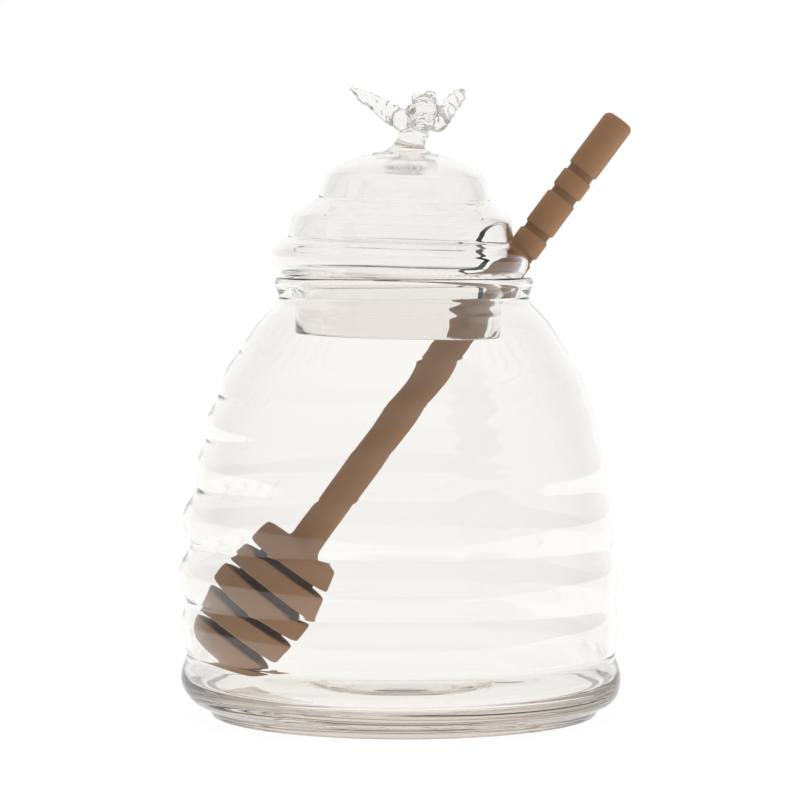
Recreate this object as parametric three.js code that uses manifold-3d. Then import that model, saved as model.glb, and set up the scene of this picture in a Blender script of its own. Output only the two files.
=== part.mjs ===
// A beehive honey pot: a ringed clear glass jar, its glass lid with a small glass bee, and a turned
// wooden honey dipper that leans out through a round cut in the lid.
// Lengths are in millimetres. +Z is up, +X is the dipper's side and -Y is the front.
// The origin is the centre of the foot, on the surface that the jar stands on.

import * as THREE from 'three';
import { mergeVertices } from 'three/addons/utils/BufferGeometryUtils.js';
import Module from 'manifold-3d';

const wasm = await Module();
wasm.setup();

// Jar: foot and base
const FOOT_RADIUS = 45.4;
const HEEL_RADIUS = 47.3;
const HEEL_HEIGHT = 2.7;
const BELLY_RADIUS = 51.9;
const BELLY_HEIGHT = 9.0;
const DIMPLE_RADIUS = 20.7;
const DIMPLE_DEPTH = 0.8;
const FLOOR_HEIGHT = 6.5;
const FLOOR_RISE = 0.9;

// Jar: the inside of the lowest ring as [radius, height], down to the edge of the floor
const BELLY_INSIDE = [[49, 14.9], [49.5, 12.6], [50.2, 10], [50, 8.4], [48.9, 7.2], [46.8, 6.6], [43.5, 6.5]];

// Jar: the creases between the rings as [radius, height], and how far each ring swells past them.
// The glass is uneven, so the rings stand out more on the left than on the right
const CREASES = [
  [50.6, 14.9], [50.6, 26.7], [49.5, 40.3], [48.3, 53.5],
  [46.3, 65], [43.4, 75.2], [38.6, 85.5],
];
const SWELLS_RIGHT = [0.75, 1.2, 1.0, 0.56, 0.45, 0.7];
const SWELLS_LEFT = [1.4, 2.68, 2.85, 1.35, 1.15, 1.1];
const SWELL_ROUNDNESS = 1.3;
const STEPS_PER_RING = 4;
const WALL = 1.6;
const NECK_WALL = 1.45;

// Jar: the belly sits a little to the left of the foot, and less so higher up
const BELLY_SHIFT = -0.75;
const UPPER_SHARE = 0.4;

// Jar: shoulder, neck and the round bead of the rim
const SHOULDER = [[38.6, 85.5], [36.9, 88.2], [34.4, 92], [32.1, 94.6], [30.1, 96.6], [29.4, 98.4]];
const BEAD = [[29.4, 98.4], [29.9, 99.9], [30.4, 101.5], [30.1, 102.6], [29.5, 103], [28.8, 102.7]];
const NECK_INSIDE = [[28.8, 102.7], [28.35, 101.8], [28.1, 100.2]];

// Lid: outline above the collar as [radius, height], in the jar's heights
const DOME = [[0, 132.9], [8, 132], [14.2, 129.9], [17.9, 127.6], [19.3, 124.8], [20.2, 121.4]];
const LID_RING = [[20.2, 121.4], [23.3, 119.1], [25.5, 117], [26.2, 114], [26.5, 112]];
const FLANGE = [
  [26.5, 112], [28.4, 110.6], [29.9, 108.9], [30.2, 107],
  [29.4, 104.6], [27.6, 103], [25.8, 102.7],
];
const COLLAR_RADIUS = 24.2;
const LID_WALL = 1.4;
const COLLAR_BOTTOM = 88.9;
const COLLAR_TOP = 102.0;

// Lid: how it sits, and how its dome leans as blown
const LID_SHIFT = -1.1;
const LID_LIFT = -0.15;
const LID_TILT = THREE.MathUtils.degToRad(1.45);
const DOME_LEAN = 0.75;

// Lid: the round cut that the dipper leans out through, with its ground edge
const NOTCH_AZIMUTH = THREE.MathUtils.degToRad(19.5);
const NOTCH_RADIUS = 12.5;
const NOTCH_HEIGHT = 104.3;
const NOTCH_SEGMENTS = 40;

// Stem of the bee: its outline, and how far to the right its foot and its top stand
const STEM = [[0, 129.8], [8.8, 131.2], [5.5, 132.6], [4, 133.8], [3.5, 135.2], [3.4, 137], [0, 138.6]];
const STEM_FOOT = 1.0;
const STEM_TOP = 2.7;

// Bee: its tail is low and towards the front, and its head is high and towards the back
const BEE_CENTRE = [4.7, -0.8, 141.3];
const BEE_YAW = THREE.MathUtils.degToRad(-14);
const BEE_PITCH = THREE.MathUtils.degToRad(45);
const BEE_ROLL = THREE.MathUtils.degToRad(-9);
const ABDOMEN_RADIUS = 4.0;
const ABDOMEN_LENGTH = 9.4;
const ABDOMEN_RINGS = 4;
const ABDOMEN_RING_DEPTH = 0.3;
const HEAD_BALL_RADIUS = 3.3;
const HEAD_BALL_CENTRE = [0, 2.2, 1.4];
const EYE_RADIUS = 1.5;
const EYE_CENTRE = [1.5, 2.6, 4];
const SHOULDER_BALL_RADIUS = 2.6;

// Each wing is a flat lobe from its root, where it swells into the body, to its tip
const WINGS = [
  { root: [-0.4, -0.6, 139.9], tip: [-12.8, -4.5, 147], rootWidth: 6.2, tipWidth: 1.9 },
  { root: [8, -1.2, 139.8], tip: [14, -8.5, 147.2], rootWidth: 5.6, tipWidth: 3.2 },
];
const WING_FULLNESS = [
  [0, 0], [0.04, 0.6], [0.13, 0.95], [0.35, 1], [0.6, 1],
  [0.82, 1], [0.93, 0.85], [0.985, 0.5], [1, 0],
];
const WING_FLATNESS = 0.36;
const WING_FACING = new THREE.Vector3(0, -1, 0.35);

// Honey dipper, measured along its axis from the top end of the handle
const DIPPER_TOP = new THREE.Vector3(51.05, 4.0, 140);
const DIPPER_LEAN = new THREE.Vector3(0.595, 0.014, 0.8).normalize();
const DIPPER_LENGTH = 158.3;
const HANDLE_RADIUS = 3.8;
const HANDLE_ROUNDING = 1.6;
const GROOVE_STARTS = [14.8, 21.2, 31.9, 38.4];
const GROOVE_WIDTH = 2.2;
const GROOVE_DEPTH = 0.55;
const HEAD_LENGTH = 32.2;
const HEAD_DISCS = 5;
const HEAD_GAP = 1.8;
const HEAD_GAP_DEPTH = 3.6;
const HEAD_RADIUS = 12.5;
const HEAD_TOP_RADIUS = 9.9;
const HEAD_END_RADIUS = 9.4;
const DISC_ROUNDING = 0.7;
const END_ROUNDING = 2;

// Facets round each turned form
const JAR_SEGMENTS = 36;
const LID_SEGMENTS = 30;
const DIPPER_SEGMENTS = 18;

function curveThrough(points, count) {
  const spline = new THREE.SplineCurve(points.map(([r, z]) => new THREE.Vector2(r, z)));
  return spline.getPoints(count);
}

function asPoints(pairs) {
  return pairs.map(([r, z]) => new THREE.Vector2(r, z));
}

function withoutRepeats(outline) {
  return outline.filter((p, i) => i === 0 || p.distanceTo(outline[i - 1]) > 0.01);
}

// Leaves one shared vertex at each place and no collapsed triangles, so that the surface is closed
function welded(geometry) {
  geometry.deleteAttribute('normal');
  geometry.deleteAttribute('uv');
  const merged = mergeVertices(geometry, 1e-4);
  const old = merged.index.array;
  const kept = [];
  for (let i = 0; i < old.length; i += 3) {
    const [a, b, c] = [old[i], old[i + 1], old[i + 2]];
    if (a !== b && b !== c && c !== a) kept.push(a, b, c);
  }
  merged.setIndex(kept);
  return merged;
}

// Turns an outline of radius and height round the vertical axis
function turned(outline, segments) {
  const geometry = new THREE.LatheGeometry(withoutRepeats(outline), segments);
  geometry.rotateX(Math.PI / 2);
  return welded(geometry);
}

function solidFrom(geometry) {
  const vertProperties = Float32Array.from(geometry.attributes.position.array);
  const triVerts = Uint32Array.from(geometry.index.array);
  return new wasm.Manifold(new wasm.Mesh({ numProp: 3, vertProperties, triVerts }));
}

function geometryFrom(solid) {
  const mesh = solid.getMesh();
  const geometry = new THREE.BufferGeometry();
  geometry.setAttribute('position', new THREE.BufferAttribute(Float32Array.from(mesh.vertProperties), 3));
  geometry.setIndex(new THREE.BufferAttribute(Uint32Array.from(mesh.triVerts), 1));
  return geometry;
}

function bent(geometry, move) {
  const position = geometry.attributes.position;
  const point = new THREE.Vector3();
  for (let i = 0; i < position.count; i++) {
    move(point.fromBufferAttribute(position, i));
    position.setXYZ(i, point.x, point.y, point.z);
  }
  return geometry;
}

function swellShape(t) {
  return Math.pow(Math.sin(Math.PI * t), SWELL_ROUNDNESS);
}

// How far the ring at this height swells past the line between its two creases
function ringSwell(height, swells) {
  for (let i = 0; i < swells.length; i++) {
    const [, low] = CREASES[i];
    const [, high] = CREASES[i + 1];
    if (height > low && height < high) return swells[i] * swellShape((height - low) / (high - low));
  }
  return 0;
}

// The outside of the ringed wall from the lowest crease to the highest
function ringedWall() {
  const outline = [];
  for (let i = 0; i < SWELLS_RIGHT.length; i++) {
    const [lowRadius, low] = CREASES[i];
    const [highRadius, high] = CREASES[i + 1];
    for (let step = 0; step < STEPS_PER_RING; step++) {
      const t = step / STEPS_PER_RING;
      const height = THREE.MathUtils.lerp(low, high, t);
      const radius = THREE.MathUtils.lerp(lowRadius, highRadius, t);
      outline.push(new THREE.Vector2(radius + ringSwell(height, SWELLS_RIGHT), height));
    }
  }
  return outline;
}

// The inner face of a wall whose outer face is the outline, going up, at a thickness for each height
function parallelInside(outline, thicknessAt) {
  return outline.slice(1, -1).map((p, i) => {
    const along = outline[i + 2].clone().sub(outline[i]).normalize();
    const thickness = thicknessAt(p.y);
    return new THREE.Vector2(p.x - thickness * along.y, p.y + thickness * along.x);
  });
}

function jarThickness(height) {
  return THREE.MathUtils.lerp(WALL, NECK_WALL, THREE.MathUtils.smoothstep(height, 84, 96));
}

function footOutline() {
  return asPoints([
    [0, DIMPLE_DEPTH],
    [DIMPLE_RADIUS - 3, DIMPLE_DEPTH],
    [DIMPLE_RADIUS, 0],
    [FOOT_RADIUS - 0.6, 0],
    [FOOT_RADIUS + 0.3, 0.5],
    [HEEL_RADIUS - 0.4, HEEL_HEIGHT - 0.8],
    [HEEL_RADIUS, HEEL_HEIGHT],
  ]);
}

// The lowest ring: a quarter ellipse out from the heel, then a half wave in to the first crease
function bellyOutline() {
  const outline = [];
  for (const turn of [18, 36, 54, 72, 90]) {
    const angle = THREE.MathUtils.degToRad(turn);
    const radius = HEEL_RADIUS + (BELLY_RADIUS - HEEL_RADIUS) * Math.sin(angle);
    const height = BELLY_HEIGHT - (BELLY_HEIGHT - HEEL_HEIGHT) * Math.cos(angle);
    outline.push(new THREE.Vector2(radius, height));
  }
  const [creaseRadius, creaseHeight] = CREASES[0];
  for (const t of [0.35, 0.7]) {
    const radius = THREE.MathUtils.lerp(BELLY_RADIUS, creaseRadius, (1 - Math.cos(Math.PI * t)) / 2);
    outline.push(new THREE.Vector2(radius, THREE.MathUtils.lerp(BELLY_HEIGHT, creaseHeight, t)));
  }
  return outline;
}

function floorOutline() {
  return asPoints([
    ...BELLY_INSIDE,
    [BELLY_INSIDE.at(-1)[0] - 4, FLOOR_HEIGHT],
    [DIMPLE_RADIUS + 3, FLOOR_HEIGHT],
    [DIMPLE_RADIUS - 1, FLOOR_HEIGHT + FLOOR_RISE * 0.8],
    [0, FLOOR_HEIGHT + FLOOR_RISE],
  ]);
}

// Sets the belly to the left and deepens the rings there
function unevenGlass(point) {
  const smooth = THREE.MathUtils.smoothstep;
  const leftness = ((1 - Math.cos(Math.atan2(point.y, point.x))) / 2) ** 3;
  const deeper = ringSwell(point.z, SWELLS_LEFT) - ringSwell(point.z, SWELLS_RIGHT);
  const stretch = 1 + (leftness * deeper) / BELLY_RADIUS;
  const upper = 1 - (1 - UPPER_SHARE) * smooth(point.z, 20, 60);
  const shift = BELLY_SHIFT * smooth(point.z, 2, 9) * upper * (1 - smooth(point.z, 86, 97));
  point.x = point.x * stretch + shift;
  point.y *= stretch;
}

function jarGeometry() {
  const wall = withoutRepeats([...ringedWall(), ...curveThrough(SHOULDER, 6)]);
  const outline = [
    ...footOutline(),
    ...bellyOutline(),
    ...wall,
    ...curveThrough(BEAD, 6),
    ...asPoints(NECK_INSIDE),
    ...parallelInside(wall, jarThickness).reverse(),
    ...floorOutline(),
  ];
  return bent(turned(outline, JAR_SEGMENTS), unevenGlass);
}

function lidShellGeometry() {
  const collar = asPoints([
    [COLLAR_RADIUS + 0.5, COLLAR_TOP + 0.4],
    [COLLAR_RADIUS, COLLAR_TOP - 1],
    [COLLAR_RADIUS, COLLAR_TOP - 5],
    [COLLAR_RADIUS, COLLAR_BOTTOM + 0.8],
  ]);
  const lip = asPoints([
    [COLLAR_RADIUS - LID_WALL, COLLAR_BOTTOM + 0.8],
    [COLLAR_RADIUS - LID_WALL + 0.5, COLLAR_BOTTOM],
    [COLLAR_RADIUS - 0.5, COLLAR_BOTTOM],
  ]);
  const outside = withoutRepeats([
    ...curveThrough(DOME, 9),
    ...curveThrough(LID_RING, 6),
    ...curveThrough(FLANGE, 10),
    ...collar,
  ]).reverse();
  const inside = parallelInside(outside, () => LID_WALL).reverse();
  const outline = [new THREE.Vector2(0, inside[0].y), ...inside, ...lip, ...outside];
  const lean = (point) => {
    point.x += DOME_LEAN * THREE.MathUtils.smoothstep(point.z, 109, 124);
  };
  return bent(turned(outline, LID_SEGMENTS), lean);
}

function notchCutter() {
  const length = 30;
  const geometry = new THREE.CylinderGeometry(NOTCH_RADIUS, NOTCH_RADIUS, length, NOTCH_SEGMENTS);
  geometry.rotateZ(-Math.PI / 2);
  geometry.translate(8 + length / 2, 0, NOTCH_HEIGHT);
  geometry.rotateZ(NOTCH_AZIMUTH);
  return welded(geometry);
}

function stemGeometry() {
  return bent(turned(curveThrough(STEM, 9), 14), (point) => {
    const share = THREE.MathUtils.smoothstep(point.z, 132.5, 137.5);
    point.x += THREE.MathUtils.lerp(STEM_FOOT, STEM_TOP, share);
  });
}

// The abdomen is turned with its tail down, and then pitched so that the tail comes to the front
function abdomenGeometry() {
  const outline = [];
  const count = 12;
  for (let i = 0; i <= count; i++) {
    const t = i / count;
    const girth = ABDOMEN_RADIUS * Math.pow(Math.sin(Math.PI * t), 0.6);
    const ring = ABDOMEN_RING_DEPTH * Math.cos(2 * Math.PI * ABDOMEN_RINGS * t) * Math.sin(Math.PI * t);
    outline.push(new THREE.Vector2(Math.max(girth - ring, 0), (t - 0.5) * ABDOMEN_LENGTH));
  }
  outline[0].x = 0;
  outline[count].x = 0;
  return turned(outline, 14).rotateX(BEE_PITCH - Math.PI / 2);
}

function ball(radius, columns, rows, centre) {
  const geometry = new THREE.SphereGeometry(radius, columns, rows);
  geometry.translate(...centre);
  return welded(geometry);
}

function wingGeometry({ root, tip, rootWidth, tipWidth }) {
  const start = new THREE.Vector3(...root);
  const along = new THREE.Vector3(...tip).sub(start);
  const length = along.length();
  along.normalize();
  const facing = WING_FACING.clone().addScaledVector(along, -WING_FACING.dot(along)).normalize();
  const across = new THREE.Vector3().crossVectors(facing, along);
  const outline = WING_FULLNESS.map(([t, share]) => {
    const width = THREE.MathUtils.lerp(rootWidth, tipWidth, t);
    return new THREE.Vector2((share * width) / 2, t * length);
  });
  const geometry = turned(outline, 12).scale(1, WING_FLATNESS, 1);
  geometry.applyMatrix4(new THREE.Matrix4().makeBasis(across, facing, along));
  return geometry.translate(...root);
}

function beeSolid() {
  const [eyeX, eyeY, eyeZ] = EYE_CENTRE;
  const body = [
    abdomenGeometry(),
    ball(HEAD_BALL_RADIUS, 12, 8, HEAD_BALL_CENTRE),
    ball(EYE_RADIUS, 10, 6, [-eyeX, eyeY, eyeZ]),
    ball(EYE_RADIUS, 10, 6, [eyeX, eyeY, eyeZ]),
  ];
  for (const geometry of body) {
    geometry.rotateY(BEE_ROLL);
    geometry.rotateZ(BEE_YAW);
    geometry.translate(...BEE_CENTRE);
  }
  const shoulders = WINGS.map(({ root }) => ball(SHOULDER_BALL_RADIUS, 10, 8, root));
  const wings = WINGS.map(wingGeometry);
  return [...body, ...shoulders, ...wings].map(solidFrom).reduce((all, next) => all.add(next));
}

function lidGeometry() {
  const shell = solidFrom(lidShellGeometry());
  const finial = solidFrom(stemGeometry()).add(beeSolid());
  return geometryFrom(shell.subtract(solidFrom(notchCutter())).add(finial));
}

// Radius of the head's barrel at a share of its length
function barrelRadius(t) {
  const ends = THREE.MathUtils.lerp(HEAD_TOP_RADIUS, HEAD_END_RADIUS, t);
  const middle = (HEAD_TOP_RADIUS + HEAD_END_RADIUS) / 2;
  return ends + (HEAD_RADIUS - middle) * Math.sin(Math.PI * t);
}

// Distance from the top end against radius, from the top of the handle to the end of the head
function dipperOutline() {
  const rounding = [0, 30, 60, 90].map((turn) => {
    const angle = THREE.MathUtils.degToRad(turn);
    const inset = HANDLE_ROUNDING * (1 - Math.sin(angle));
    return [HANDLE_RADIUS - inset, HANDLE_ROUNDING * (1 - Math.cos(angle))];
  });
  const outline = [[0, 0], ...rounding];
  for (const start of GROOVE_STARTS) {
    outline.push([HANDLE_RADIUS, start]);
    outline.push([HANDLE_RADIUS - GROOVE_DEPTH, start + 0.4]);
    outline.push([HANDLE_RADIUS - GROOVE_DEPTH, start + GROOVE_WIDTH - 0.3]);
    outline.push([HANDLE_RADIUS, start + GROOVE_WIDTH]);
  }
  const headStart = DIPPER_LENGTH - HEAD_LENGTH;
  outline.push([HANDLE_RADIUS, headStart - 1.2]);
  const disc = (HEAD_LENGTH - (HEAD_DISCS - 1) * HEAD_GAP) / HEAD_DISCS;
  for (let i = 0; i < HEAD_DISCS; i++) {
    const top = i * (disc + HEAD_GAP);
    const end = top + disc;
    const lastEnd = i === HEAD_DISCS - 1 ? END_ROUNDING : DISC_ROUNDING;
    const topRadius = barrelRadius(top / HEAD_LENGTH);
    const endRadius = barrelRadius(end / HEAD_LENGTH);
    if (i > 0) outline.push([topRadius - HEAD_GAP_DEPTH, headStart + top]);
    outline.push([topRadius - DISC_ROUNDING, headStart + top]);
    outline.push([barrelRadius((top + DISC_ROUNDING) / HEAD_LENGTH), headStart + top + DISC_ROUNDING]);
    outline.push([barrelRadius((end - lastEnd) / HEAD_LENGTH), headStart + end - lastEnd]);
    if (i === HEAD_DISCS - 1) outline.push([endRadius - 0.4, headStart + end - 0.6]);
    outline.push([endRadius - lastEnd, headStart + end]);
    if (i < HEAD_DISCS - 1) outline.push([endRadius - HEAD_GAP_DEPTH, headStart + end]);
  }
  outline.push([0, DIPPER_LENGTH]);
  return asPoints(outline);
}

// The dipper is turned hanging down from its top end, and then leant over
function dipperGeometry() {
  const outline = dipperOutline().map((p) => new THREE.Vector2(p.x, -p.y));
  return turned(outline.reverse(), DIPPER_SEGMENTS);
}

const glass = {
  color: 0xf4f2ee,
  roughness: 0.03,
  metalness: 0,
  transparent: true,
  opacity: 0.35,
};

const pot = new THREE.Group();

const jar = new THREE.Mesh(jarGeometry(), new THREE.MeshStandardMaterial(glass));
jar.name = 'jar';
pot.add(jar);

const lidSeat = new THREE.Group();
lidSeat.position.set(LID_SHIFT, 0, LID_LIFT + COLLAR_TOP);
lidSeat.rotation.y = LID_TILT;
const lid = new THREE.Mesh(lidGeometry(), new THREE.MeshStandardMaterial(glass));
lid.name = 'lid';
lid.position.z = -COLLAR_TOP;
lidSeat.add(lid);
pot.add(lidSeat);

const wood = new THREE.MeshStandardMaterial({ color: 0x93694a, roughness: 0.75, metalness: 0 });
const dipper = new THREE.Mesh(dipperGeometry(), wood);
dipper.name = 'dipper';
dipper.position.copy(DIPPER_TOP);
dipper.quaternion.setFromUnitVectors(new THREE.Vector3(0, 0, 1), DIPPER_LEAN);
pot.add(dipper);

export default pot;
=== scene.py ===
import math

import bmesh
import bpy
from mathutils import Matrix, Vector, noise


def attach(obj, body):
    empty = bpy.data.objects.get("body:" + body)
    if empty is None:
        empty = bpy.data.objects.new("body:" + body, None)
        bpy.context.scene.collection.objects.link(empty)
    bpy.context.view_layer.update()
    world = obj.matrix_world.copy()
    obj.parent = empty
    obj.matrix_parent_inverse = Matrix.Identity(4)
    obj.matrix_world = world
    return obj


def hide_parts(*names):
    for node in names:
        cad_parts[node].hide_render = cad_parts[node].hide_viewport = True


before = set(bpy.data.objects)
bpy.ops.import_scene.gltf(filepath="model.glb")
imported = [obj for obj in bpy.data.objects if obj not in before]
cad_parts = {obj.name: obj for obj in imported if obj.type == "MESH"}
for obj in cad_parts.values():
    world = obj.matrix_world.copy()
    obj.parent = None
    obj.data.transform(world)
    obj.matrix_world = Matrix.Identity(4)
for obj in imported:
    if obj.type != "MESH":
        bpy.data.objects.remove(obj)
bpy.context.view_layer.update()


# The jar
# A beehive jar of clear glass, blown in a ringed mould: six swelling rings on a round belly, with a
# flat foot, a heel and a thick round bead at the rim. The glass is uneven and sits a little left.

underside = [(0, 0.8), (17.7, 0.8), (19.5, 0.4), (20.7, 0)]
foot_edge = [(44.8, 0), (45.3, 0.12), (45.6, 0.5), (45.9, 1.2), (46.4, 2.0), (47.3, 2.7)]
belly_radius, belly_height = 51.9, 9.0
belly_inside = [(49, 14.9), (49.5, 12.6), (50.2, 10), (50, 8.4), (48.9, 7.2), (46.8, 6.6), (43.5, 6.5)]
floor = [(43.5, 6.5), (23.7, 6.5), (19.7, 7.2), (0, 7.4)]
creases = [(50.6, 14.9), (50.6, 26.7), (49.5, 40.3), (48.3, 53.5)]
creases += [(46.3, 65.0), (43.4, 75.2), (38.6, 85.5)]
swells_right = [0.75, 1.2, 1.0, 0.56, 0.45, 0.7]
swells_left = [1.4, 2.68, 2.85, 1.35, 1.15, 1.1]
jar_wall = 1.6
shoulder = [(38.6, 85.5), (36.9, 88.2), (34.4, 92.0), (32.1, 94.6), (30.1, 96.6), (29.4, 98.4)]
bead = [(29.4, 98.4), (29.9, 99.9), (30.4, 101.5), (30.1, 102.6), (29.5, 103.0), (28.8, 102.7)]
neck_wall = 1.45
neck_inside = [(28.8, 102.7), (28.35, 101.8), (28.1, 100.2)]


def curve_through(points, count):
    """A smooth curve through the points, as count steps."""
    pts = [Vector(p) for p in points]
    out = []
    for k in range(count + 1):
        place = (len(pts) - 1) * k / count
        i = min(int(place), len(pts) - 2)
        t = place - i
        p0, p1, p2, p3 = pts[max(i - 1, 0)], pts[i], pts[i + 1], pts[min(i + 2, len(pts) - 1)]
        a, b = (p2 - p0) / 2, (p3 - p1) / 2
        out.append((2 * p1 - 2 * p2 + a + b) * t**3 + (3 * p2 - 3 * p1 - 2 * a - b) * t * t + a * t + p1)
    return [(p.x, p.y) for p in out]


def turned(name, outline, segments, move=None):
    """Turns an outline of radius and height (mm) round the vertical axis into a closed skin."""
    kept = [outline[0]]
    for p in outline[1:]:
        if math.dist(p, kept[-1]) > 0.01:
            kept.append(p)
    verts, rows = [], []
    for r, z in kept:
        if r < 0.005:
            rows.append([len(verts)] * segments)
            verts.append(Vector((0, 0, z)))
            continue
        rows.append(list(range(len(verts), len(verts) + segments)))
        for k in range(segments):
            a = 2 * math.pi * k / segments
            verts.append(Vector((r * math.cos(a), r * math.sin(a), z)))
    faces = []
    for low, high in zip(rows, rows[1:]):
        for k in range(segments):
            n = (k + 1) % segments
            ring = [low[k], low[n], high[n], high[k]]
            face = [v for i, v in enumerate(ring) if v not in ring[:i]]
            if len(face) > 2:
                faces.append(face)
    if move:
        verts = [move(v) for v in verts]
    mesh = bpy.data.meshes.new(name)
    mesh.from_pydata([v / 1000 for v in verts], [], faces)
    mesh.shade_smooth()
    piece = bpy.data.objects.new(name, mesh)
    bpy.context.scene.collection.objects.link(piece)
    return piece


def smooth(value, low, high):
    t = min(max((value - low) / (high - low), 0.0), 1.0)
    return t * t * (3 - 2 * t)


def ring_swell(height, swells):
    """How far the ring at this height stands out past the line between its two creases."""
    for i, swell in enumerate(swells):
        low, high = creases[i][1], creases[i + 1][1]
        if low < height < high:
            return swell * math.sin(math.pi * (height - low) / (high - low)) ** 1.3
    return 0.0


def ringed_wall():
    outline = []
    for (r0, z0), (r1, z1) in zip(creases, creases[1:]):
        for step in range(28):
            t = step / 28
            z = z0 + (z1 - z0) * t
            outline.append((r0 + (r1 - r0) * t + ring_swell(z, swells_right), z))
    return outline


def parallel_inside(outline, thickness):
    """The inner face of a wall whose outer face is the outline, going up, at an even thickness."""
    inner = []
    for i in range(1, len(outline) - 1):
        (r0, z0), (r, z), (r1, z1) = outline[i - 1 : i + 2]
        long = math.hypot(r1 - r0, z1 - z0)
        inner.append((r - thickness(z) * (z1 - z0) / long, z + thickness(z) * (r1 - r0) / long))
    return inner


def uneven_glass(point):
    """Sets the belly to the left, deepens the rings there, and adds the slow waves of blown glass."""
    left = ((1 - math.cos(math.atan2(point.y, point.x))) / 2) ** 3
    deeper = ring_swell(point.z, swells_left) - ring_swell(point.z, swells_right)
    stretch = 1 + left * deeper / belly_radius
    stretch += 0.0022 * noise.noise(point / 19) * smooth(point.z, 6, 14)
    upper = 1 - 0.6 * smooth(point.z, 20, 60)
    shift = -0.75 * smooth(point.z, 2, 9) * upper * (1 - smooth(point.z, 86, 97))
    return Vector((point.x * stretch + shift, point.y * stretch, point.z))


foot = curve_through(underside, 24) + curve_through(foot_edge, 24)
heel_radius, heel_height = foot_edge[-1]
belly = []
for k in range(1, 25):
    a = math.pi / 2 * k / 24
    belly.append((heel_radius + (belly_radius - heel_radius) * math.sin(a),
                  belly_height - (belly_height - heel_height) * math.cos(a)))
for k in range(1, 12):
    t = k / 12
    belly.append((belly_radius + (creases[0][0] - belly_radius) * (1 - math.cos(math.pi * t)) / 2,
                  belly_height + (creases[0][1] - belly_height) * t))
outer_wall = ringed_wall() + curve_through(shoulder, 48)


def wall_thickness(height):
    """The wall is a little thinner at the neck."""
    return jar_wall + (neck_wall - jar_wall) * smooth(height, 84, 96)


inner_wall = parallel_inside(outer_wall, wall_thickness)[::-1]
neck = curve_through(neck_inside + [inner_wall[2]], 24)
floor_inside = curve_through(belly_inside, 60) + curve_through(floor, 24)

jar = turned(
    "honey_jar",
    foot + belly + outer_wall + curve_through(bead, 40) + neck + inner_wall[3:] + floor_inside,
    160,
    uneven_glass,
)


def glass_waves():
    """Shared effect: the faint ripples and draw lines in the skin of blown glass."""
    group = bpy.data.node_groups.new("glass_waves", "ShaderNodeTree")
    for name, value in (("Ripple size", 60.0), ("Draw size", 220.0)):
        size = group.interface.new_socket(name, in_out="INPUT", socket_type="NodeSocketFloat")
        size.default_value = value
    for name in ("Height", "Cloud"):
        group.interface.new_socket(name, in_out="OUTPUT", socket_type="NodeSocketFloat")
    n, link = group.nodes, group.links.new
    given, result = n.new("NodeGroupInput"), n.new("NodeGroupOutput")
    place = n.new("ShaderNodeTexCoord")
    ripple = n.new("ShaderNodeTexNoise")
    ripple.inputs["Detail"].default_value = 2.0
    squash = n.new("ShaderNodeMapping")
    squash.inputs["Scale"].default_value = (1, 1, 0.25)
    draw = n.new("ShaderNodeTexNoise")
    draw.inputs["Detail"].default_value = 3.0
    link(place.outputs["Object"], ripple.inputs["Vector"])
    link(given.outputs["Ripple size"], ripple.inputs["Scale"])
    link(place.outputs["Object"], squash.inputs["Vector"])
    link(squash.outputs["Vector"], draw.inputs["Vector"])
    link(given.outputs["Draw size"], draw.inputs["Scale"])
    both = n.new("ShaderNodeMath")
    both.operation = "MULTIPLY_ADD"
    both.inputs[1].default_value = 0.18
    link(draw.outputs["Fac"], both.inputs[0])
    link(ripple.outputs["Fac"], both.inputs[2])
    link(both.outputs["Value"], result.inputs["Height"])
    link(ripple.outputs["Fac"], result.inputs["Cloud"])
    return group


waves = glass_waves()


def clear_glass(name, tint, wave_height, density):
    """Clear polished soda glass with a faint warm tint in its thickness."""
    glass = bpy.data.materials.new(name)
    glass.use_nodes = True
    n, link = glass.node_tree.nodes, glass.node_tree.links.new
    skin = n["Principled BSDF"]
    skin.inputs["Transmission Weight"].default_value = 1.0
    skin.inputs["IOR"].default_value = 1.5
    skin.inputs["Roughness"].default_value = 0.015
    effect = n.new("ShaderNodeGroup")
    effect.node_tree = waves
    place, parts = n.new("ShaderNodeTexCoord"), n.new("ShaderNodeSeparateXYZ")
    above_base = n.new("ShaderNodeMapRange")
    above_base.inputs["From Min"].default_value = 0.010
    above_base.inputs["From Max"].default_value = 0.024
    bump = n.new("ShaderNodeBump")
    bump.inputs["Distance"].default_value = wave_height
    link(place.outputs["Object"], parts.inputs["Vector"])
    link(parts.outputs["Z"], above_base.inputs["Value"])
    link(above_base.outputs["Result"], bump.inputs["Strength"])
    link(effect.outputs["Height"], bump.inputs["Height"])
    link(bump.outputs["Normal"], skin.inputs["Normal"])
    shade = n.new("ShaderNodeMix")
    shade.data_type = "RGBA"
    shade.inputs["A"].default_value = (*tint, 1)
    shade.inputs["B"].default_value = (*(c * 0.985 for c in tint), 1)
    link(effect.outputs["Cloud"], shade.inputs["Factor"])
    link(shade.outputs["Result"], skin.inputs["Base Color"])
    inside = n.new("ShaderNodeVolumeAbsorption")
    inside.inputs["Color"].default_value = (0.932, 0.908, 0.884, 1)
    inside.inputs["Density"].default_value = density
    link(inside.outputs["Volume"], n["Material Output"].inputs["Volume"])
    return glass


jar_glass = clear_glass("jar_glass", (0.992, 0.988, 0.972), 0.00002, 44.0)
jar.data.materials.append(jar_glass)
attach(jar, "root")
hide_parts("jar")


# The lid and its bee
# A hollow lid of thin clear glass: a collar that drops into the neck, a round flange on the rim, a
# stepped dome, and a solid glass bee fused on a short stem. A round cut at the right is ground
# through the flange and collar for the dipper.

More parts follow.
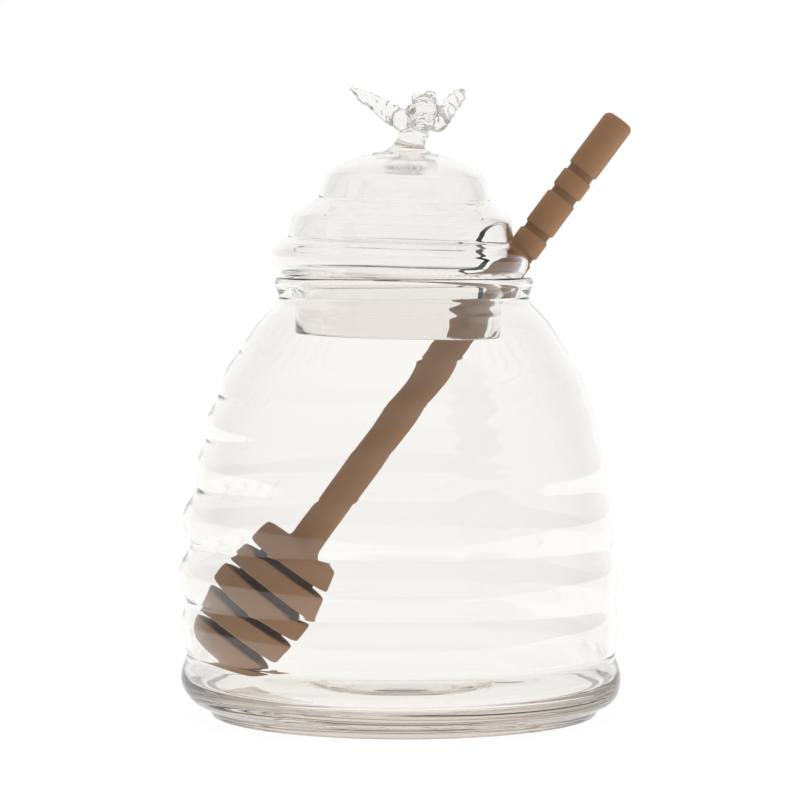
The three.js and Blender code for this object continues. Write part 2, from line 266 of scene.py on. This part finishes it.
dome = [(0, 132.9), (8, 132.0), (14.2, 129.9), (17.9, 127.6), (19.3, 124.8), (20.2, 121.4)]
lid_ring = [(20.2, 121.4), (23.3, 119.1), (25.5, 117.0), (26.2, 114.0), (26.5, 112.0)]
flange = [(26.5, 112.0), (28.4, 110.6), (29.9, 108.9), (30.2, 107.0)]
flange += [(29.4, 104.6), (27.6, 103.0), (25.8, 102.7)]
collar_radius, lid_wall = 24.2, 1.4
collar_bottom, collar_top = 88.9, 102.0
lid_shift, lid_lift = -1.1, -0.15
lid_tilt = math.radians(1.45)
dome_lean = 0.75
notch_azimuth = math.radians(19.5)
notch_radius, notch_height = 12.5, 104.3

collar_root = [(25.8, 102.7), (24.9, 102.5), (24.35, 101.8)]
collar_root += [(collar_radius, 100.6), (collar_radius, 99.0)]
collar = curve_through(collar_root, 14)
collar += [(collar_radius, z) for z in (96.0, 93.0, collar_bottom + 0.75)]
lip = [(0, 0.75), (0.2, 0.2), (0.7, 0), (1.2, 0.2), (lid_wall, 0.75)]
collar_lip = curve_through([(collar_radius - inset, collar_bottom + lift) for inset, lift in lip], 16)


def leaning_dome(point):
    return Vector((point.x + dome_lean * smooth(point.z, 109, 124), point.y, point.z)) * (
        1 + 0.0015 * noise.noise(point / 13))


top_down = curve_through(dome, 44) + curve_through(lid_ring, 32) + curve_through(flange, 60) + collar
lid_outside = [top_down[-1]]
for place in top_down[-2::-1]:
    if math.dist(place, lid_outside[-1]) > 0.01:
        lid_outside.append(place)
lid_inside = parallel_inside(lid_outside, lambda z: lid_wall)
lid_outline = [(0, lid_inside[-1][1])] + lid_inside[::-1] + collar_lip[::-1] + lid_outside
lid = turned("lid_with_bee", lid_outline, 160, leaning_dome)


def into_mesh(piece):
    """Fixes the piece's modifiers into its mesh."""
    bpy.context.view_layer.update()
    done = bpy.data.meshes.new_from_object(piece.evaluated_get(bpy.context.evaluated_depsgraph_get()))
    piece.modifiers.clear()
    piece.data = done
    return piece


def joined(name, pieces):
    """One mesh of several closed skins."""
    whole = bmesh.new()
    for piece in pieces:
        whole.from_mesh(piece.data)
    mesh = bpy.data.meshes.new(name)
    whole.to_mesh(mesh)
    whole.free()
    for piece in pieces:
        bpy.data.objects.remove(piece)
    result = bpy.data.objects.new(name, mesh)
    bpy.context.scene.collection.objects.link(result)
    return result


# The stem is drawn up from the dome and leans to the right under the bee
stem = [(0, 129.8), (8.8, 131.2), (5.5, 132.6), (4.0, 133.8), (3.5, 135.2), (3.4, 137.0), (0, 138.6)]


def leaning_stem(point):
    share = smooth(point.z, 132.5, 137.5)
    return Vector((point.x + 1.0 + 1.7 * share, point.y, point.z))


bee_centre = Vector((4.7, -0.8, 141.3))
bee_turn = (Matrix.Rotation(math.radians(-14), 4, "Z") @ Matrix.Rotation(math.radians(-9), 4, "Y"))


def ball(name, radius, centre):
    form = bmesh.new()
    bmesh.ops.create_icosphere(form, subdivisions=4, radius=radius / 1000)
    form.transform(Matrix.Translation(Vector(centre) / 1000))
    mesh = bpy.data.meshes.new(name)
    form.to_mesh(mesh)
    form.free()
    piece = bpy.data.objects.new(name, mesh)
    bpy.context.scene.collection.objects.link(piece)
    return piece


abdomen_radius, abdomen_length = 4.0, 9.4
abdomen_outline = [(0, -abdomen_length / 2)]
for k in range(1, 60):
    t = k / 60
    girth = abdomen_radius * math.sin(math.pi * t) ** 0.6
    girth -= 0.34 * math.cos(8 * math.pi * t) * math.sin(math.pi * t)
    abdomen_outline.append((girth, (t - 0.5) * abdomen_length))
abdomen_outline.append((0, abdomen_length / 2))
abdomen = turned("abdomen", abdomen_outline, 64)
abdomen.data.transform(Matrix.Rotation(math.radians(45 - 90), 4, "X"))
head = ball("head", 3.3, (0, 2.2, 1.4))
eyes = [ball("eye", 1.5, (side, 2.6, 4)) for side in (-1.5, 1.5)]
body = [abdomen, head] + eyes
for form in body:
    form.data.transform(Matrix.Translation(bee_centre / 1000) @ bee_turn)

wings = [
    dict(root=(-0.4, -0.6, 139.9), tip=(-12.8, -4.5, 147.0), root_width=6.2, tip_width=1.9),
    dict(root=(8.0, -1.2, 139.8), tip=(14.0, -8.5, 147.2), root_width=5.6, tip_width=3.2),
]
wing_fullness = [(0, 0), (0.04, 0.6), (0.13, 0.95), (0.35, 1), (0.6, 1)]
wing_fullness += [(0.82, 1), (0.93, 0.85), (0.985, 0.5), (1, 0)]
wing_flatness = 0.36


def wing(root, tip, root_width, tip_width):
    """A flat pinched lobe of glass with veins pressed into it."""
    start = Vector(root)
    along = Vector(tip) - start
    length = along.length
    along.normalize()
    facing = Vector((0, -1, 0.35))
    facing = (facing - along * facing.dot(along)).normalized()
    across = facing.cross(along)
    outline = [(share * (root_width + (tip_width - root_width) * t) / 2, t * length)
               for t, share in curve_through(wing_fullness, 64)]
    outline = [(max(r, 0), z) for r, z in outline]

    def pinched(point):
        vein = 0.12 * math.sin(2.6 * point.x + 0.12 * point.z * point.x)
        return Vector((point.x, point.y * wing_flatness * (1 + vein), point.z))

    piece = turned("wing", outline, 48, pinched)
    place = Matrix((across, facing, along)).transposed().to_4x4()
    piece.data.transform(Matrix.Translation(start / 1000) @ place)
    return piece


shoulders = [ball("shoulder", 2.6, w["root"]) for w in wings]
finial = joined("finial", [turned("stem", curve_through(stem, 60), 64, leaning_stem)]
                + body + shoulders + [wing(**w) for w in wings])
melt = finial.modifiers.new("melt", "REMESH")
melt.mode = "VOXEL"
melt.voxel_size = 0.00026
soften = finial.modifiers.new("soften", "SMOOTH")
soften.factor = 0.5
soften.iterations = 8
into_mesh(finial)

cutter = turned("cutter", [(0, 0), (notch_radius, 0), (notch_radius, 30), (0, 30)], 160)
cutter.data.transform(
    Matrix.Translation((0, 0, notch_height / 1000)) @ Matrix.Rotation(notch_azimuth, 4, "Z")
    @ Matrix.Translation((0.008, 0, 0)) @ Matrix.Rotation(math.radians(90), 4, "Y"))
for tool, way in ((cutter, "DIFFERENCE"), (finial, "UNION")):
    step = lid.modifiers.new(way, "BOOLEAN")
    step.object = tool
    step.operation = way
    step.solver = "EXACT"
into_mesh(lid)
for tool in (cutter, finial):
    bpy.data.objects.remove(tool)

# The bee is pinched and pressed while hot, which leaves veins and folds all over it
pressed = []
for v in lid.data.vertices:
    place = v.co * 1000
    fold = 1 - 2 * abs(noise.noise(place / 2.1)) - 0.7 * abs(noise.noise(place / 1.1 + Vector((7, 3, 5))))
    pressed.append(v.co + v.normal * (smooth(place.z, 137.6, 139.6) * 0.00034 * (fold - 0.5)))
for v, place in zip(lid.data.vertices, pressed):
    v.co = place
lid.data.transform(
    Matrix.Translation((lid_shift / 1000, 0, (lid_lift + collar_top) / 1000))
    @ Matrix.Rotation(lid_tilt, 4, "Y") @ Matrix.Translation((0, 0, -collar_top / 1000)))
lid.data.set_sharp_from_angle(angle=math.radians(40))

lid_glass = clear_glass("lid_glass", (0.982, 0.978, 0.962), 0.000004, 70.0)
lid.data.materials.clear()
lid.data.materials.append(lid_glass)
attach(lid, "root")
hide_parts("lid")


# The honey dipper
# Turned from one piece of beech: a plain round handle with two pairs of shallow grooves, and a
# barrel head of five discs with deep slots between them. It leans in the jar and out of the cut.

dipper_top = Vector((51.05, 4.0, 140))
dipper_lean = Vector((0.595, 0.014, 0.8)).normalized()
dipper_length = 158.3
handle_radius, end_rounding = 3.8, 1.6
grooves = [14.8, 21.2, 31.9, 38.4]
groove_shape = [(-0.15, 0.0), (0.05, 0.08), (0.35, 0.5), (0.55, 0.55)]
groove_shape += [(1.65, 0.55), (1.9, 0.48), (2.15, 0.08), (2.35, 0.0)]
head_length, head_gap, head_gap_depth = 32.2, 1.8, 3.6
head_radius, head_top_radius, head_end_radius = 12.5, 9.9, 9.4


def barrel(t):
    ends = head_top_radius + (head_end_radius - head_top_radius) * t
    return ends + (head_radius - (head_top_radius + head_end_radius) / 2) * math.sin(math.pi * t)


def dipper_outline():
    """Radius against the distance from the top end."""
    out = [(0, 0)]
    for k in range(9):
        a = math.pi / 2 * k / 8
        out.append((handle_radius - end_rounding * (1 - math.sin(a)), end_rounding * (1 - math.cos(a))))
    for start in grooves:
        for at, depth in groove_shape:
            out.append((handle_radius - depth, start + at))
    head = dipper_length - head_length
    for swell, before in ((0, 20), (0, 2.2), (0.15, 1.2), (0.7, 0.6)):
        out.append((handle_radius + swell, head - before))
    disc = (head_length - 4 * head_gap) / 5  # there are five discs and four gaps
    for i in range(5):
        low = i * (disc + head_gap)
        high = low + disc
        last = 2.0 if i == 4 else 0.5
        if i:
            out += [(barrel(low / head_length) - head_gap_depth, head + low)]
        out += [(barrel(low / head_length) - 0.5, head + low),
                (barrel(low / head_length) - 0.12, head + low + 0.14),
                (barrel((low + 0.5) / head_length), head + low + 0.5)]
        for k in range(1, 6):
            z = low + 0.5 + (disc - 0.5 - last) * k / 6
            out.append((barrel(z / head_length), head + z))
        rim = barrel(high / head_length)
        near_rim = barrel((high - last * 0.5) / head_length)
        out += curve_through([(barrel((high - last) / head_length), head + high - last),
                              (near_rim - last * 0.13, head + high - last * 0.42),
                              (rim - last * 0.45, head + high - last * 0.1),
                              (rim - last, head + high)], 6)
        if i < 4:
            out += [(barrel(high / head_length) - head_gap_depth, head + high)]
    out.append((0, dipper_length))
    return out


dipper = turned("honey_dipper", [(r, -z) for r, z in dipper_outline()][::-1], 96)
turning = dipper.data.attributes.new("turning_place", "FLOAT_VECTOR", "POINT")
# The second attribute is how deep each point lies in a slot of the head, or at half strength in a groove
# of the handle; the wood uses it for painted shade in these recesses.
cut = dipper.data.attributes.new("slot_shade_depth", "FLOAT", "POINT")
for i, v in enumerate(dipper.data.vertices):
    turning.data[i].vector = v.co
    r = math.hypot(v.co.x, v.co.y) * 1000
    along = -v.co.z * 1000
    if along > dipper_length - head_length + 0.05:
        wanted = barrel(min((along - dipper_length + head_length) / head_length, 1)) - 0.6
        cut.data[i].value = min(max((wanted - r) / 2.6, 0), 1) if along < dipper_length - 0.5 else 0
    else:
        cut.data[i].value = min(max((handle_radius - 0.1 - r) / 0.5, 0), 1) * 0.5 if along > 3 else 0
dipper.data.transform(Matrix.Translation(dipper_top / 1000)
                      @ Vector((0, 0, 1)).rotation_difference(dipper_lean).to_matrix().to_4x4())


def turned_beech():
    """Plain unvarnished beech: brown, lightened past the wood's own to stand in for light, with fine
    lengthwise grain, short dark flecks and painted shade in the slots and grooves.
    """
    wood = bpy.data.materials.new("turned_beech")
    wood.use_nodes = True
    n, link = wood.node_tree.nodes, wood.node_tree.links.new
    skin = n["Principled BSDF"]
    skin.inputs["IOR"].default_value = 1.45
    skin.inputs["Specular IOR Level"].default_value = 0.3
    place = n.new("ShaderNodeAttribute")
    place.attribute_name = "turning_place"

    def stretched(scale, size, detail):
        squash = n.new("ShaderNodeMapping")
        squash.inputs["Scale"].default_value = scale
        grain = n.new("ShaderNodeTexNoise")
        grain.inputs["Scale"].default_value = size
        grain.inputs["Detail"].default_value = detail
        link(place.outputs["Vector"], squash.inputs["Vector"])
        link(squash.outputs["Vector"], grain.inputs["Vector"])
        return grain.outputs["Fac"]

    def ramp(value, *stops):
        r = n.new("ShaderNodeValToRGB")
        while len(r.color_ramp.elements) < len(stops):
            r.color_ramp.elements.new(0.5)
        for e, (at, colour) in zip(r.color_ramp.elements, stops):
            e.position = at
            e.color = (*colour, 1)
        link(value, r.inputs["Fac"])
        return r.outputs["Color"]

    def mixed(way, amount, a, b):
        m = n.new("ShaderNodeMix")
        m.data_type = "RGBA"
        m.blend_type = way
        for socket, value in (("Factor", amount), ("A", a), ("B", b)):
            if isinstance(value, (int, float)):
                m.inputs[socket].default_value = value
            elif isinstance(value, tuple):
                m.inputs[socket].default_value = (*value, 1)
            else:
                link(value, m.inputs[socket])
        return m.outputs["Result"]

    # Painted light: this broad brown is lighter than the beech's own colour, to make up for the dim light
    # on the wood.
    broad_lightened_tone = ramp(stretched((1, 1, 0.09), 300, 4), (0.38, (0.52, 0.28, 0.15)), (0.62, (0.86, 0.5, 0.285)))
    fine = stretched((1, 1, 0.06), 1200, 4)
    grain = ramp(fine, (0.4, (0.62, 0.6, 0.58)), (0.62, (1.15, 1.14, 1.12)))
    flecks = ramp(stretched((1, 1, 0.12), 2600, 1), (0.63, (1, 1, 1)), (0.72, (0.62, 0.58, 0.55)))
    colour = mixed("MULTIPLY", 1.0, mixed("MULTIPLY", 1.0, broad_lightened_tone, grain), flecks)
    # Painted shade: the slots of the head and the grooves of the handle are darkened toward deep brown by
    # how deep each point lies in them.
    slot_shade_depth = n.new("ShaderNodeAttribute")
    slot_shade_depth.attribute_name = "slot_shade_depth"
    colour = mixed("MIX", slot_shade_depth.outputs["Fac"], colour, (0.15, 0.088, 0.056))
    link(colour, skin.inputs["Base Color"])
    rough = n.new("ShaderNodeMapRange")
    rough.inputs["To Min"].default_value = 0.62
    rough.inputs["To Max"].default_value = 0.82
    link(fine, rough.inputs["Value"])
    link(rough.outputs["Result"], skin.inputs["Roughness"])
    bump = n.new("ShaderNodeBump")
    bump.inputs["Strength"].default_value = 0.5
    bump.inputs["Distance"].default_value = 0.00008
    link(fine, bump.inputs["Height"])
    link(bump.outputs["Normal"], skin.inputs["Normal"])
    return wood


dipper.data.set_sharp_from_angle(angle=math.radians(50))
dipper.data.materials.append(turned_beech())
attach(dipper, "root")
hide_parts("dipper")


# The table, the light and the camera
# A grey table top made white by painted light: an emission glow, full under and behind the jar and
# fading to dim grey in front. It stands in a white room that is dimmer at its sides and front. The camera
# stands in front, a little above the rim.

top = bmesh.new()
bmesh.ops.create_grid(top, x_segments=1, y_segments=1, size=300)
table_mesh = bpy.data.meshes.new("table_top")
top.to_mesh(table_mesh)
top.free()
table = bpy.data.objects.new("table_top", table_mesh)
table.location.z = -0.0004
bpy.context.scene.collection.objects.link(table)
glowing_floor = bpy.data.materials.new("floor_painted_glow")
glowing_floor.use_nodes = True
n, link = glowing_floor.node_tree.nodes, glowing_floor.node_tree.links.new
floor_shader = n["Principled BSDF"]
floor_shader.inputs["Base Color"].default_value = (0.12, 0.12, 0.12, 1)
floor_shader.inputs["Roughness"].default_value = 0.9
floor_shader.inputs["Specular IOR Level"].default_value = 0.0
floor_shader.inputs["Emission Color"].default_value = (1, 1, 1, 1)
# Painted light: the table's emission is strongest under and behind the jar and fades to a dim grey glow
# in front, by the table's own Y.
place = n.new("ShaderNodeTexCoord")
parts = n.new("ShaderNodeSeparateXYZ")
painted_floor_glow = n.new("ShaderNodeMapRange")
painted_floor_glow.interpolation_type = "SMOOTHSTEP"
for socket, value in (("From Min", -0.21), ("From Max", -0.127), ("To Min", 0.2), ("To Max", 0.95)):
    painted_floor_glow.inputs[socket].default_value = value
link(place.outputs["Object"], parts.inputs["Vector"])
link(parts.outputs["Y"], painted_floor_glow.inputs["Value"])
link(painted_floor_glow.outputs["Result"], floor_shader.inputs["Emission Strength"])
table.data.materials.append(glowing_floor)

room = bpy.data.worlds.new("white_room")
room.use_nodes = True
n, link = room.node_tree.nodes, room.node_tree.links.new
way = n.new("ShaderNodeTexCoord")
parts = n.new("ShaderNodeSeparateXYZ")
link(way.outputs["Generated"], parts.inputs["Vector"])
shares = []
for axis, low, high, dark, light in (("Y", 0.4, 0.98, 0.3, 1.0), ("Z", 0.3, 0.95, 0.0, 0.35)):
    share = n.new("ShaderNodeMapRange")
    share.interpolation_type = "SMOOTHSTEP"
    for socket, value in (("From Min", low), ("From Max", high), ("To Min", dark), ("To Max", light)):
        share.inputs[socket].default_value = value
    link(parts.outputs[axis], share.inputs["Value"])
    shares.append(share)
whole = n.new("ShaderNodeMath")
whole.operation = "ADD"
for i, share in enumerate(shares):
    link(share.outputs["Result"], whole.inputs[i])
link(whole.outputs["Value"], n["Background"].inputs["Strength"])
n["Background"].inputs["Color"].default_value = (1, 1, 1, 1)
scene = bpy.context.scene
scene.world = room

scene.view_settings.view_transform = "Standard"
scene.cycles.max_bounces = 32
scene.cycles.transmission_bounces = 28
scene.cycles.glossy_bounces = 16

camera = bpy.data.objects.new("camera", bpy.data.cameras.new("camera"))
camera.location = (-0.00092, -0.882, 0.121)
camera.rotation_euler = (math.radians(90 - 3.05), 0, 0)
camera.data.sensor_width = 36
camera.data.lens = 3750 * 36 / 800
camera.data.clip_end = 1000
scene.collection.objects.link(camera)
scene.camera = camera
